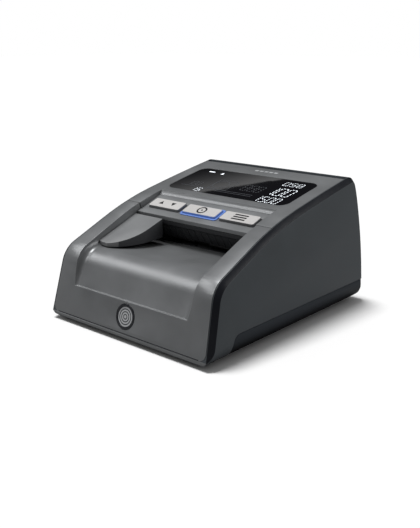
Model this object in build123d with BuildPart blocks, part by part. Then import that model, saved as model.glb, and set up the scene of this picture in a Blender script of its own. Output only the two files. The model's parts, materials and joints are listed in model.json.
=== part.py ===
"""Compact banknote counter and checker: an assembly of separate moulded, pressed and turned pieces.

Front is -Y, up is +Z, millimetres. The origin is the middle of the footprint, at the underside of the feet.
Side profiles are drawn as (distance behind the front edge, height), so FRONT_Y moves them into the frame.
"""
from build123d import *
from math import cos, pi, radians, sin, tan
import os

os.makedirs("parts", exist_ok=True)

# overall
FRONT_Y = -74.4
HEIGHT_LIMIT = 100.0
DEPTH_LIMIT = 160.0
AHEAD = -10.0
LEAN = 0.0727
SIDE_HALF = 64.24
FACE_HALF = 60.8
GROOVE = 0.4
WALL = 2.4
FOOT_HEIGHT = 1.5

# face profile: foot, front, nose, rails, brow and deck
FACE_FOOT = (-1.23, 5.0)
FACE_CORNER_R = 4.0
FRONT_ANGLE = 75.7
FRONT_LENGTH = 30.34
NOSE_R = 16.0
RAIL_ANGLE = 24.0
RAIL_LENGTH = 26.0
BROW_R = 200.0
DECK_START = 12.5
DECK_R = 1300.0
DECK_END = 10.0
REAR_RUN = 3.73
REAR_R = 6.0
REAR_ANGLE = -75.0
BACK_R = 200.0
BACK_END = -91.0
SHELL_CHAMFER = 2.7

# seam between the front frame and the hinged cover
SEAM_Y = 58.4
SEAM_Z = 63.1
SEAM_TILT = 18.0

# note tray
TRAY_HALF = 46.0
TRAY_START = (4.4, 22.8)
TRAY_RISE = 64.0
TRAY_RISE_LENGTH = 13.0
TRAY_CREST_R = 14.0
TRAY_FALL = -2.0
TRAY_LENGTH = 46.0
TRAY_END = 63.0
TRAY_CORNER_R = 4.0
NOTE_Z = 41.0

# base seam
SEAM_HEIGHT = 14.4
BASE_FRONT = 16.5
BASE_REAR = 149.7
BASE_R = 9.0
BASE_STEP = 0.3
TONGUE_HALF = 54.5
FLOOR_TOP = 4.4

# cover and its hinge
COVER_SKIN = 2.2
COVER_BAND = 7.0
BARREL_R = 3.2
PIN_R = 1.25
RUN_GAP = 0.05
UPPER_HALF = 53.0
SKIRT_HALF = 54.5
LEDGE_Y = 136.9

# key deck
DECK_HALF = 45.5
DECK_FRONT = (56.0, 58.2)
DECK_SLOPE = 20.2
DECK_BACK = 74.6
KEY_Y = 65.95
KEY_DEPTH = 8.85
KEY_WIDTHS = {"key_left": 25.2, "key_centre": 25.8, "key_right": 25.2}
KEY_OFFSETS = {"key_left": -28.6, "key_centre": 0.0, "key_right": 28.6}
KEY_GAP = 0.3
KEY_PROUD = 1.8

# ribs of the throat wall
RIB_PITCH = 5.2
RIB_HALF = 0.4
RIBS_EACH_SIDE = 8

# display
WINDOW_HALF = 46.9
WINDOW_FRONT = 83.0
WINDOW_BACK = 120.8
WINDOW_R = 6.0

# note transport
DRIVE_R = 7.0
DRIVE_Z = 34.4
PINCH_R = 5.0
ROLL_GAP = 0.3
PINCH_Z = DRIVE_Z + DRIVE_R + ROLL_GAP + PINCH_R
FRONT_SHAFT_Y = 70.0
REAR_SHAFT_Y = 112.0
SHAFT_R = 2.0
PINCH_SHAFT_R = 1.5
ROLLER_X = (-34.0, 0.0, 34.0)
ROLLER_WIDTH = 10.0
UPPER_PLATE_Z = 43.2
PLATE = 1.6
SENSOR_Y = (84.0, 98.0)
SENSOR_HALF = 42.0
CHASSIS_X = (51.0, 53.0)

# gear train
MODULE = 0.7
ROLLER_TEETH = 24
IDLER_TEETH = 36
PINION_TEETH = 12
GEAR_X = (-57.4, -54.0)
IDLER_Y = (FRONT_SHAFT_Y + REAR_SHAFT_Y) / 2
PINION_Z = DRIVE_Z - MODULE * (IDLER_TEETH + PINION_TEETH) / 2

# boards, battery, screws and feet
BOARD_Z = 9.0
BATTERY_X = (-14.0, 44.0)
BATTERY_Y = (92.0, 126.0)
BOARD_POSTS = [(x, y) for x in (-44, 44) for y in (19, 54)]
CHASSIS_SCREWS = [(x, y) for x in (-47.5, 47.5) for y in (66, 84)]
CASING_SCREWS = [(x, y) for x in (-52, 52) for y in (30, 141)]
GUIDE_SCREWS = [(x, y) for x in (-47, 47) for y in (81, 124)]
FOOT_PLACES = [(-46, 12), (46, 12), (-44, 134), (44, 134)]
PORT_FACE = 149.6
FIT_GAP = 0.3
DOOR_OVERLAP = 2.0
ENCODER_X = (54.0, 54.8)


def side_plane(x=0.0):
    """Sketch plane looking along X, with its origin under the front edge."""
    return Plane(origin=(x, FRONT_Y, 0), x_dir=(0, 1, 0), z_dir=(1, 0, 0))


def block(low, high, mode=Mode.ADD):
    """Box between two corners given as (x, distance behind the front, height)."""
    size = [b - a for a, b in zip(low, high)]
    middle = [(a + b) / 2 for a, b in zip(low, high)]
    with Locations((middle[0], FRONT_Y + middle[1], middle[2])):
        Box(*size, mode=mode)


def pocket(x_range, y_range, z_range, grow):
    """Cut a box between two ranges, widened all round by grow."""
    low = (x_range[0] - grow, y_range[0] - grow, z_range[0])
    high = (x_range[1] + grow, y_range[1] + grow, z_range[1])
    block(low, high, Mode.SUBTRACT)


def rod(x_range, y, z, radius, mode=Mode.ADD):
    """Cylinder along X."""
    with Locations(Location((x_range[0], FRONT_Y + y, z), (0, 90, 0))):
        Cylinder(
            radius,
            x_range[1] - x_range[0],
            align=(Align.CENTER, Align.CENTER, Align.MIN),
            mode=mode,
        )


def post(x, y, z_range, radius, mode=Mode.ADD):
    """Cylinder along Z."""
    with Locations((x, FRONT_Y + y, z_range[0])):
        Cylinder(
            radius,
            z_range[1] - z_range[0],
            align=(Align.CENTER, Align.CENTER, Align.MIN),
            mode=mode,
        )


def inset_point(point, angle, inset):
    """The point moved inward, square to a line that climbs at this angle."""
    return (point[0] + inset * sin(radians(angle)), point[1] - inset * cos(radians(angle)))


def face_chain(inset):
    """Front, nose, rails, brow and deck as one smooth line; returns its ends."""
    foot = inset_point(FACE_FOOT, FRONT_ANGLE, inset)
    front = PolarLine(foot, FRONT_LENGTH, FRONT_ANGLE)
    nose = JernArc(front @ 1, front % 1, NOSE_R - inset, RAIL_ANGLE - FRONT_ANGLE)
    rail = PolarLine(nose @ 1, RAIL_LENGTH, RAIL_ANGLE)
    brow = JernArc(rail @ 1, rail % 1, BROW_R - inset, DECK_START - RAIL_ANGLE)
    deck = JernArc(brow @ 1, brow % 1, DECK_R - inset, DECK_END - DECK_START)
    return front @ 0, deck @ 1


def tray_chain(inset):
    """Rise, crest and level run of the note tray; returns its ends."""
    start = inset_point(TRAY_START, TRAY_RISE, inset)
    rise = PolarLine(start, TRAY_RISE_LENGTH, TRAY_RISE)
    crest = JernArc(rise @ 1, rise % 1, TRAY_CREST_R - inset, TRAY_FALL - TRAY_RISE)
    run = PolarLine(crest @ 1, TRAY_LENGTH, TRAY_FALL)
    return rise @ 0, run @ 1


def save(piece, name):
    """Label a finished piece and write its STEP file."""
    piece.part.label = name
    export_step(piece.part, f"parts/{name}.step")


def leaning_block(half_width, floor=0.0, radius=0.0):
    """Block whose sides lean in towards the top; its lower edges, at floor height, can be round."""
    low = half_width - LEAN * floor
    top = half_width - LEAN * HEIGHT_LIMIT
    with BuildPart() as shape:
        with BuildSketch(Plane.XZ) as section:
            with BuildLine():
                Polyline((-low, floor), (low, floor), (top, HEIGHT_LIMIT), (-top, HEIGHT_LIMIT), close=True)
            make_face()
            if radius:
                fillet(section.vertices().group_by(Axis.Y)[0], radius=radius)
        extrude(amount=DEPTH_LIMIT, both=True)
    return shape.part


def under_face(inset, half_width=SIDE_HALF):
    """Everything below the face surface after moving it inward."""
    with BuildPart() as shape:
        with BuildSketch(side_plane()):
            with BuildLine():
                start, end = face_chain(inset)
                Polyline(end, (DEPTH_LIMIT, end.Y), (DEPTH_LIMIT, -1), (start.X, -1), start)
            make_face()
        extrude(amount=half_width, both=True)
    return shape.part


def over_tray(gap=0.0):
    """The open space above the note tray and in front of its rise, drawn back by a gap."""
    with BuildPart() as shape:
        with BuildSketch(side_plane()):
            with BuildLine():
                start, end = tray_chain(-gap)
                Polyline(
                    end, (DEPTH_LIMIT, end.Y), (DEPTH_LIMIT, HEIGHT_LIMIT),
                    (AHEAD, HEIGHT_LIMIT), (AHEAD, 20), start,
                )
            make_face()
        extrude(amount=TRAY_HALF - gap, both=True)
        middles = [(face, face.center()) for face in shape.faces()]
        floor_faces = ShapeList(
            face for face, at in middles if 5 < at.Y - FRONT_Y < TRAY_LENGTH + 14 and at.Z < TRAY_LENGTH + 14
        )
        for side in (-1, 1):
            wall = [edge for edge in floor_faces.edges() if side * edge.center().X > TRAY_HALF - gap - 0.01]
            fillet(wall, radius=TRAY_CORNER_R - gap)
    return shape.part


def under_tray():
    """Everything below the tray's own skin."""
    with BuildPart() as shape:
        with BuildSketch(side_plane()):
            with BuildLine():
                start, end = tray_chain(WALL)
                low = start.Y - WALL
                Polyline(end, (DEPTH_LIMIT, end.Y), (DEPTH_LIMIT, -1), (AHEAD, -1), (AHEAD, low), start)
            make_face()
        extrude(amount=TRAY_HALF + WALL, both=True)
    return shape.part


def behind_seam(gap):
    """Everything behind the seam plane between front frame and cover."""
    slope = tan(radians(SEAM_TILT))
    low = (SEAM_Y + gap + SEAM_Z * slope, 0)
    high = (SEAM_Y + gap - (HEIGHT_LIMIT - SEAM_Z) * slope, HEIGHT_LIMIT)
    with BuildPart() as shape:
        with BuildSketch(side_plane()):
            with BuildLine():
                Polyline(low, (DEPTH_LIMIT, 0), (DEPTH_LIMIT, HEIGHT_LIMIT), high, close=True)
            make_face()
        extrude(amount=SIDE_HALF, both=True)
    return shape.part


def hinge_centre():
    """Distance behind the front and height of the cover's hinge axis."""
    with BuildLine() as line:
        start, end = face_chain(0)
    return inset_point((end.X, end.Y), DECK_END, BARREL_R)


HINGE_Y, HINGE_Z = hinge_centre()


def key_plane(depth=0.0):
    """Plane of the key deck under the middle of the keys, lowered by depth."""
    z = DECK_FRONT[1] + (KEY_Y - DECK_FRONT[0]) * tan(radians(DECK_SLOPE))
    normal = Vector(0, -sin(radians(DECK_SLOPE)), cos(radians(DECK_SLOPE)))
    origin = Vector(0, FRONT_Y + KEY_Y, z) - normal * depth
    return Plane(origin=origin, x_dir=(1, 0, 0), z_dir=normal)


def front_plane(height, proud=0.0):
    """Plane on the sloping front face at this height, facing out."""
    normal = Vector(0, -sin(radians(FRONT_ANGLE)), cos(radians(FRONT_ANGLE)))
    y = FACE_FOOT[0] + (height - FACE_FOOT[1]) / tan(radians(FRONT_ANGLE))
    origin = Vector(0, FRONT_Y + y, height) + normal * proud
    return Plane(origin=origin, x_dir=(1, 0, 0), z_dir=normal)


# ---------------------------------------------------------------- outer casing

def make_body_shell():
    """Dark sides and back with a chamfered rim round the face and round lower edges."""
    sill = FACE_FOOT[1] - 0.1
    sides = leaning_block(SIDE_HALF)
    round_foot = leaning_block(SIDE_HALF, FOOT_HEIGHT, BASE_R)
    opening = leaning_block(FACE_HALF + GROOVE, sill, FACE_CORNER_R + GROOVE)
    with BuildPart() as inside:
        with BuildSketch(side_plane()):
            with BuildLine():
                Polyline(
                    (145.7, sill), (AHEAD, sill), (AHEAD, HEIGHT_LIMIT),
                    (LEDGE_Y, HEIGHT_LIMIT), (LEDGE_Y, 72.5), (140.0, 71.0), (146.8, 30.0),
                    close=True,
                )
            make_face()
        extrude(amount=SIDE_HALF, both=True)
        add(opening, mode=Mode.INTERSECT)
        block((-TONGUE_HALF - GROOVE, 2.2, 0), (TONGUE_HALF + GROOVE, 145.5, sill + 0.5))
    with BuildPart() as shell:
        with BuildSketch(side_plane()):
            with BuildLine():
                start, end = face_chain(0)
                run = PolarLine(end, REAR_RUN, DECK_END)
                rear = JernArc(run @ 1, run % 1, REAR_R, REAR_ANGLE - DECK_END)
                back = JernArc(rear @ 1, rear % 1, BACK_R, BACK_END - REAR_ANGLE)
                heel = ((back @ 1).X, FOOT_HEIGHT)
                Polyline(back @ 1, heel, (0.3, FOOT_HEIGHT), (FACE_FOOT[0], 3.0), start)
            make_face()
        extrude(amount=SIDE_HALF, both=True)
        add(sides, mode=Mode.INTERSECT)
        for flank in (shell.faces().sort_by(Axis.X)[0], shell.faces().sort_by(Axis.X)[-1]):
            rim = flank.edges().filter_by(lambda edge: edge.center().Z > SEAM_HEIGHT)
            chamfer(rim, length=SHELL_CHAMFER)
        add(round_foot, mode=Mode.INTERSECT)
        add(inside.part, mode=Mode.SUBTRACT)
        with BuildSketch(side_plane()):
            with BuildLine():
                shoulder = Line((DEPTH_LIMIT, SEAM_HEIGHT), (24.0, SEAM_HEIGHT))
                curve = Spline(
                    shoulder @ 1, (BASE_FRONT, FOOT_HEIGHT - 1),
                    tangents=((-1, 0), (-0.1, -1)),
                )
                Polyline(curve @ 1, (DEPTH_LIMIT, FOOT_HEIGHT - 1), (DEPTH_LIMIT, SEAM_HEIGHT))
            make_face()
        extrude(amount=SIDE_HALF, both=True, mode=Mode.SUBTRACT)
        block((-45, 143, 39.2), (45, 160, 45.4), Mode.SUBTRACT)
        block((-45.3, 143, 17.7), (-34.7, 160, 28.3), Mode.SUBTRACT)
        block((-28.3, 143, 19.7), (-19.7, 160, 24.3), Mode.SUBTRACT)
        block((28.7, 143, 17.7), (45.3, 160, 28.3), Mode.SUBTRACT)
        for side in (-1, 1):
            ends = sorted((side * 53.0, side * 57.4))
            rod(ends, HINGE_Y, HINGE_Z, PIN_R, Mode.SUBTRACT)
        for x, y in CASING_SCREWS:
            post(x, y, (FLOOR_TOP, 24.0), 2.4)
            outer = x + (8.6 if x > 0 else -8.6)
            block((min(x, outer), y - 1.2, 17.0), (max(x, outer), y + 1.2, 24.0))
            post(x, y, (FLOOR_TOP, 12.0), 1.15, Mode.SUBTRACT)
    save(shell, "body_shell")


def make_base_tray():
    """Round-edged tray under the machine, with the battery bay and board posts."""
    top = SEAM_HEIGHT - GROOVE
    sides = leaning_block(SIDE_HALF - BASE_STEP)
    round_foot = leaning_block(SIDE_HALF - BASE_STEP, FOOT_HEIGHT, BASE_R)
    bay = leaning_block(SIDE_HALF - BASE_STEP - WALL, FLOOR_TOP, BASE_R - WALL)
    with BuildPart() as hollow:
        add(bay)
        block((-SIDE_HALF, 10.0, FLOOR_TOP), (SIDE_HALF, 145.4, top + 1), Mode.INTERSECT)
    with BuildPart() as tray:
        with BuildSketch(side_plane()) as outline:
            with BuildLine():
                shoulder = Line((BASE_REAR, top), (24.4, top))
                curve = Spline(
                    shoulder @ 1, (BASE_FRONT + GROOVE, FOOT_HEIGHT),
                    tangents=((-1, 0), (-0.1, -1)),
                )
                Polyline(curve @ 1, (BASE_REAR, FOOT_HEIGHT), (BASE_REAR, top))
            make_face()
            fillet(outline.vertices().group_by(Axis.X)[-1].sort_by(Axis.Y)[0], radius=BASE_R)
        extrude(amount=SIDE_HALF, both=True)
        add(sides, mode=Mode.INTERSECT)
        for flank in (tray.faces().sort_by(Axis.X)[0], tray.faces().sort_by(Axis.X)[-1]):
            rim = flank.edges().filter_by(lambda edge: edge.center().Y > FRONT_Y + BASE_REAR - BASE_R)
            chamfer(rim, length=SHELL_CHAMFER)
        add(round_foot, mode=Mode.INTERSECT)
        add(hollow.part, mode=Mode.SUBTRACT)
        block((-TONGUE_HALF, 2.6, FOOT_HEIGHT), (TONGUE_HALF, 19.8, FLOOR_TOP))
        pocket(BATTERY_X, BATTERY_Y, (0, 3.9), DOOR_OVERLAP + FIT_GAP)
        pocket(BATTERY_X, BATTERY_Y, (0, 5.0), FIT_GAP)
        for x, y in BOARD_POSTS:
            post(x, y, (FLOOR_TOP, BOARD_Z), 2.6)
        for x, y in FOOT_PLACES:
            post(x, y, (0, 3.1), 6.2, Mode.SUBTRACT)
        for x, y in CASING_SCREWS:
            post(x, y, (0, 3.2), 2.6, Mode.SUBTRACT)
            post(x, y, (0, 20.0), 1.5, Mode.SUBTRACT)
        for x, y in CHASSIS_SCREWS:
            post(x, y, (2.3, FLOOR_TOP + 1), 1.15, Mode.SUBTRACT)
    save(tray, "base_tray")


def make_rubber_feet():
    """Four round rubber feet set into the tray."""
    with BuildPart() as feet:
        for x, y in FOOT_PLACES:
            post(x, y, (0, 3.0), 6.0)
        chamfer(feet.edges().filter_by(GeomType.CIRCLE).group_by(Axis.Z)[0], length=0.6)
    save(feet, "rubber_feet")


def make_front_frame():
    """Front face, the two rails beside the note tray, and the tray floor."""
    face = leaning_block(FACE_HALF, FACE_FOOT[1], FACE_CORNER_R)
    beyond = behind_seam(-GROOVE)
    tray_space = over_tray()
    below_tray = under_tray()
    below_face = under_face(WALL)
    with BuildPart() as tray_core:
        add(below_tray)
        add(below_face, mode=Mode.INTERSECT)
    with BuildPart() as rail_core:
        add(below_face)
        block((-TRAY_HALF - WALL, -20, -5), (TRAY_HALF + WALL, DEPTH_LIMIT, HEIGHT_LIMIT), Mode.SUBTRACT)
    solid = under_face(0)
    with BuildPart() as frame:
        add(solid)
        add(face, mode=Mode.INTERSECT)
        block((-SIDE_HALF, -10, 0), (SIDE_HALF, TRAY_END, HEIGHT_LIMIT), Mode.INTERSECT)
        add(beyond, mode=Mode.SUBTRACT)
        add(tray_space, mode=Mode.SUBTRACT)
        add(rail_core.part, mode=Mode.SUBTRACT)
        add(tray_core.part, mode=Mode.SUBTRACT)
        with BuildSketch(front_plane(14.4)):
            Circle(7.35)
        extrude(amount=-1.0, mode=Mode.SUBTRACT)
    save(frame, "front_frame")


def make_badge():
    """Round badge sunk in the front face: a dark ring and a pale disc."""
    with BuildPart() as ring:
        with BuildSketch(front_plane(14.4, -0.95)):
            Circle(7.2)
            Circle(5.6, mode=Mode.SUBTRACT)
        extrude(amount=1.15)
        chamfer(ring.edges().filter_by(GeomType.CIRCLE).sort_by(Axis.Y)[0], length=0.2)
    save(ring, "badge_ring")
    with BuildPart() as disc:
        with BuildSketch(front_plane(14.4, -0.95)):
            Circle(5.5)
        extrude(amount=0.85)
    save(disc, "badge_disc")


def make_note_guide():
    """Sloping wing on the left of the note, level underneath and rising towards the slot."""
    tray_space = over_tray(0.1)
    with BuildPart() as guide:
        with BuildSketch(Plane(origin=(0, FRONT_Y, 0))):
            with BuildLine():
                inner = Line((-22.0, 54.2), (-22.8, 43.0))
                curve = TangentArc(inner @ 1, (-38.0, 23.3), tangent=(-0.07, -1))
                nose = Line(curve @ 1, (-44.6, 23.8))
                Polyline(nose @ 1, (-45.9, 25.0), (-45.9, 54.2), inner @ 0)
            make_face()
        extrude(amount=HEIGHT_LIMIT)
        with BuildSketch(side_plane()):
            with BuildLine():
                Polyline((22, 42.9), (56, 45.6), (56, 57.6), (22, 44.7), close=True)
            make_face()
        extrude(amount=SIDE_HALF, both=True, mode=Mode.INTERSECT)
        add(tray_space, mode=Mode.INTERSECT)
    save(guide, "note_guide")


# ---------------------------------------------------------------- hinged cover

def key_deck_space():
    """Open space above the sunken key deck."""
    rise = tan(radians(DECK_SLOPE))
    front = (50.0, DECK_FRONT[1] - (DECK_FRONT[0] - 50.0) * rise)
    back = (DECK_BACK, DECK_FRONT[1] + (DECK_BACK - DECK_FRONT[0]) * rise)
    with BuildPart() as space:
        with BuildSketch(side_plane()):
            with BuildLine():
                deck = Line(front, back)
                lip = TangentArc(back, (DECK_BACK + 3.2, back[1] + 3.6), tangent=deck % 1)
                Polyline(lip @ 1, ((lip @ 1).X, HEIGHT_LIMIT), (front[0], HEIGHT_LIMIT), front)
            make_face()
        extrude(amount=DECK_HALF, both=True)
    return space.part


def make_top_cover():
    """Cover with a sunken key deck, a display window seat and the hinge barrel."""
    face = leaning_block(FACE_HALF, FACE_FOOT[1], FACE_CORNER_R)
    behind = behind_seam(0)
    top = under_face(0)
    core = under_face(COVER_BAND)
    hollow = under_face(COVER_SKIN, UPPER_HALF)
    below_skin = under_face(COVER_SKIN)
    window_seat = under_face(1.7)
    post_trim = under_face(1.0)
    deck_space = key_deck_space()
    rise = tan(radians(DECK_SLOPE))
    with BuildPart() as rear_hollow:
        add(hollow)
        block((-SIDE_HALF, 79.5, 0), (SIDE_HALF, HINGE_Y, HEIGHT_LIMIT), Mode.INTERSECT)
    with BuildPart() as side_hollow:
        add(hollow)
        block((-SIDE_HALF, 60.5, 0), (SIDE_HALF, 80.0, HEIGHT_LIMIT), Mode.INTERSECT)
        block((-DECK_HALF - 2, 0, 0), (DECK_HALF + 2, 80.0, HEIGHT_LIMIT), Mode.SUBTRACT)
    with BuildPart() as skirt_trim:
        add(below_skin)
        block((-SKIRT_HALF, 0, 0), (SKIRT_HALF, DEPTH_LIMIT, HEIGHT_LIMIT), Mode.SUBTRACT)
    with BuildPart() as seat:
        with BuildSketch(Plane(origin=(0, FRONT_Y + (WINDOW_FRONT + WINDOW_BACK) / 2, 40))):
            RectangleRounded(2 * WINDOW_HALF, WINDOW_BACK - WINDOW_FRONT, WINDOW_R)
        extrude(amount=HEIGHT_LIMIT)
        add(window_seat, mode=Mode.SUBTRACT)
    with BuildPart() as deck_hollow:
        add(hollow)
        block((-DECK_HALF, 50, 0), (DECK_HALF, 80.0, HEIGHT_LIMIT), Mode.INTERSECT)
    with BuildPart() as posts:
        for x, y in GUIDE_SCREWS:
            post(x, y, (UPPER_PLATE_Z + PLATE, HEIGHT_LIMIT), 2.6)
        add(post_trim, mode=Mode.INTERSECT)
        for x, y in GUIDE_SCREWS:
            post(x, y, (40.0, 56.0), 1.2, Mode.SUBTRACT)
    with BuildPart() as cover:
        add(top)
        add(core, mode=Mode.SUBTRACT)
        block((-SIDE_HALF, 40, 40), (SIDE_HALF, HINGE_Y, HEIGHT_LIMIT), Mode.INTERSECT)
        add(face, mode=Mode.INTERSECT)
        add(behind, mode=Mode.INTERSECT)
        add(rear_hollow.part, mode=Mode.SUBTRACT)
        add(side_hollow.part, mode=Mode.SUBTRACT)
        add(deck_hollow.part, mode=Mode.SUBTRACT)
        add(skirt_trim.part, mode=Mode.SUBTRACT)
        rod((-54.9, 54.9), HINGE_Y, HINGE_Z, BARREL_R)
        for start_y, half in ((DECK_FRONT[0], DECK_HALF - 0.3), (60.6, DECK_HALF + 2)):
            start_z = DECK_FRONT[1] + (start_y - DECK_FRONT[0]) * rise
            end_z = DECK_FRONT[1] + (79.0 - DECK_FRONT[0]) * rise
            with BuildSketch(side_plane()):
                with BuildLine():
                    Polyline(
                        (start_y, start_z), (79.0, end_z), (79.0, end_z - COVER_SKIN),
                        (start_y, start_z - COVER_SKIN), close=True,
                    )
                make_face()
            extrude(amount=half, both=True)
        add(deck_space, mode=Mode.SUBTRACT)
        add(seat.part, mode=Mode.SUBTRACT)
        block((-44.0, 86.0, 50), (44.0, 117.8, HEIGHT_LIMIT), Mode.SUBTRACT)
        add(posts.part)
        for name, width in KEY_WIDTHS.items():
            with BuildSketch(key_plane()):
                with Locations((KEY_OFFSETS[name], 0)):
                    RectangleRounded(width + 2 * KEY_GAP, KEY_DEPTH + 2 * KEY_GAP, 1.4)
            extrude(amount=5.0, both=True, mode=Mode.SUBTRACT)
        for side in (-1, 1):
            ends = sorted((side * 46.0, side * 56.0))
            rod(ends, HINGE_Y, HINGE_Z, PIN_R + RUN_GAP, Mode.SUBTRACT)
    save(cover, "top_cover")


def make_hinge_pins():
    """Two short pins that carry the cover."""
    with BuildPart() as pins:
        for side in (-1, 1):
            ends = sorted((side * 47.0, side * 57.2))
            rod(ends, HINGE_Y, HINGE_Z, PIN_R)
    save(pins, "hinge_pins")


def make_throat_panel():
    """Ribbed wall that leads from the key deck down to the note slot."""
    with BuildPart() as panel:
        with BuildSketch(side_plane()):
            with BuildLine():
                Polyline(
                    (56.2, 55.6), (57.4, 55.9), (59.8, 52.6), (64.4, 45.0),
                    (62.6, 44.9), (57.8, 52.4), (56.2, 53.4),
                    close=True,
                )
            make_face()
        extrude(amount=DECK_HALF - 0.4, both=True)
        for index in range(-RIBS_EACH_SIDE, RIBS_EACH_SIDE + 1):
            with BuildSketch(side_plane(index * RIB_PITCH)):
                with BuildLine():
                    Polyline((57.8, 52.4), (62.6, 44.9), (62.25, 44.7), (57.45, 52.2), close=True)
                make_face()
            extrude(amount=RIB_HALF, both=True)
    save(panel, "throat_panel")


def make_display():
    """Window, its board and the digit module under it."""
    top = under_face(0.15)
    below = under_face(1.65)
    with BuildPart() as window:
        with BuildSketch(Plane(origin=(0, FRONT_Y + (WINDOW_FRONT + WINDOW_BACK) / 2, 40))):
            RectangleRounded(2 * WINDOW_HALF - 0.6, WINDOW_BACK - WINDOW_FRONT - 0.6, WINDOW_R - 0.3)
        extrude(amount=HEIGHT_LIMIT)
        add(top, mode=Mode.INTERSECT)
        add(below, mode=Mode.SUBTRACT)
    save(window, "display_window")
    slope = Plane(
        origin=(0, FRONT_Y + 102.5, 69.5), x_dir=(1, 0, 0),
        z_dir=(0, -sin(radians(11.3)), cos(radians(11.3))),
    )
    with BuildPart() as board:
        with BuildSketch(slope.offset(-4.0)):
            Rectangle(86, 30)
        extrude(amount=1.6)
    save(board, "display_board")
    with BuildPart() as digits:
        with BuildSketch(slope.offset(-2.4)):
            with Locations((20, 0)):
                RectangleRounded(42, 27, 1.0)
            with Locations((-24, 0)):
                RectangleRounded(34, 27, 1.0)
        extrude(amount=3.0)
    save(digits, "display_modules")


def make_keys():
    """Three sprung keys with a retaining flange under the deck."""
    for name, width in KEY_WIDTHS.items():
        with BuildPart() as key:
            with BuildSketch(key_plane(2.8)):
                with Locations((KEY_OFFSETS[name], 0)):
                    RectangleRounded(width, KEY_DEPTH, 1.2)
            extrude(amount=2.8 + KEY_PROUD)
            top = key.faces().sort_by(Axis(key_plane().origin, key_plane().z_dir))[-1]
            fillet(top.edges(), radius=0.6)
            with BuildSketch(key_plane(3.4)):
                with Locations((KEY_OFFSETS[name], 0)):
                    RectangleRounded(width + 1.8, KEY_DEPTH + 1.8, 1.2)
            extrude(amount=0.8)
            with BuildSketch(key_plane(4.0)):
                with Locations((KEY_OFFSETS[name], 0)):
                    Circle(1.6)
            extrude(amount=1.0)
        save(key, name)


def make_key_parts():
    """Light guide on the deck, and the switches and board beneath it."""
    with BuildPart() as guide:
        with BuildSketch(key_plane(-0.05)):
            RectangleRounded(28.6, KEY_DEPTH + 2.8, 1.8)
            RectangleRounded(26.4, KEY_DEPTH + 2 * KEY_GAP, 1.4, mode=Mode.SUBTRACT)
        extrude(amount=0.5)
    save(guide, "key_light_guide")
    with BuildPart() as switches:
        for offset in KEY_OFFSETS.values():
            with BuildSketch(key_plane(7.6)):
                with Locations((offset, 0)):
                    RectangleRounded(6, 6, 0.5)
            extrude(amount=2.0)
            with BuildSketch(key_plane(5.7)):
                with Locations((offset, 0)):
                    Circle(1.6)
            extrude(amount=0.5)
    save(switches, "key_switches")
    with BuildPart() as board:
        with BuildSketch(key_plane(9.2)):
            Rectangle(84, 12)
        extrude(amount=PLATE)
    save(board, "key_board")


# ---------------------------------------------------------------- note transport

def roller_windows(y, radius, z_range):
    """Cut a window round each roller of a shaft."""
    for x in ROLLER_X:
        low = (x - ROLLER_WIDTH / 2 - 0.8, y - radius, z_range[0])
        high = (x + ROLLER_WIDTH / 2 + 0.8, y + radius, z_range[1])
        block(low, high, Mode.SUBTRACT)


def make_upper_guide():
    """Guide plate and side walls that hang under the cover."""
    trim = under_face(2.6)
    with BuildPart() as guide:
        block((-52.5, 65.0, UPPER_PLATE_Z), (52.5, 127.0, HEIGHT_LIMIT))
        add(trim, mode=Mode.INTERSECT)
        block((-50.5, 60, UPPER_PLATE_Z + PLATE), (50.5, 130, HEIGHT_LIMIT), Mode.SUBTRACT)
        for y in (FRONT_SHAFT_Y, REAR_SHAFT_Y):
            roller_windows(y, PINCH_R + 0.2, (40, UPPER_PLATE_Z + PLATE + 1))
            rod((-60, 60), y, PINCH_Z, PINCH_SHAFT_R + RUN_GAP, Mode.SUBTRACT)
        pocket((-SENSOR_HALF, SENSOR_HALF), SENSOR_Y, (40, 46), FIT_GAP)
        for x, y in GUIDE_SCREWS:
            post(x, y, (40, 50), 1.5, Mode.SUBTRACT)
        block((-60, 76.0, 50.0), (60, 106.0, 58.0), Mode.SUBTRACT)
    save(guide, "upper_guide")


def make_lower_guide():
    """Guide plate under the note, from the tray to the rear slot."""
    with BuildPart() as guide:
        block((-50.9, TRAY_END + 0.4, NOTE_Z - 0.1 - PLATE), (50.9, 144.6, NOTE_Z - 0.1))
        for y in (FRONT_SHAFT_Y, REAR_SHAFT_Y):
            roller_windows(y, 5.8, (35, 45))
        pocket((-SENSOR_HALF, SENSOR_HALF), SENSOR_Y, (35, 46), FIT_GAP)
        block((-6.3, 121.7, 35), (6.3, 130.3, 45), Mode.SUBTRACT)
    save(guide, "lower_guide")


def make_sensors():
    """Image sensor bars above and below the note, and the magnetic head."""
    bars = {"upper_sensor_bar": (42.9, 52.0), "lower_sensor_bar": (31.0, 41.0)}
    for name, (low, high) in bars.items():
        with BuildPart() as bar:
            block((-SENSOR_HALF, SENSOR_Y[0], low), (SENSOR_HALF, SENSOR_Y[1], high))
            chamfer(bar.edges().filter_by(Axis.X), length=0.6)
        save(bar, name)
    with BuildPart() as head:
        block((-6.0, 122.0, 33.0), (6.0, 130.0, 40.6))
        rod((-5.0, 5.0), 126.0, 39.6, 1.8)
    save(head, "magnetic_head")


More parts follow.
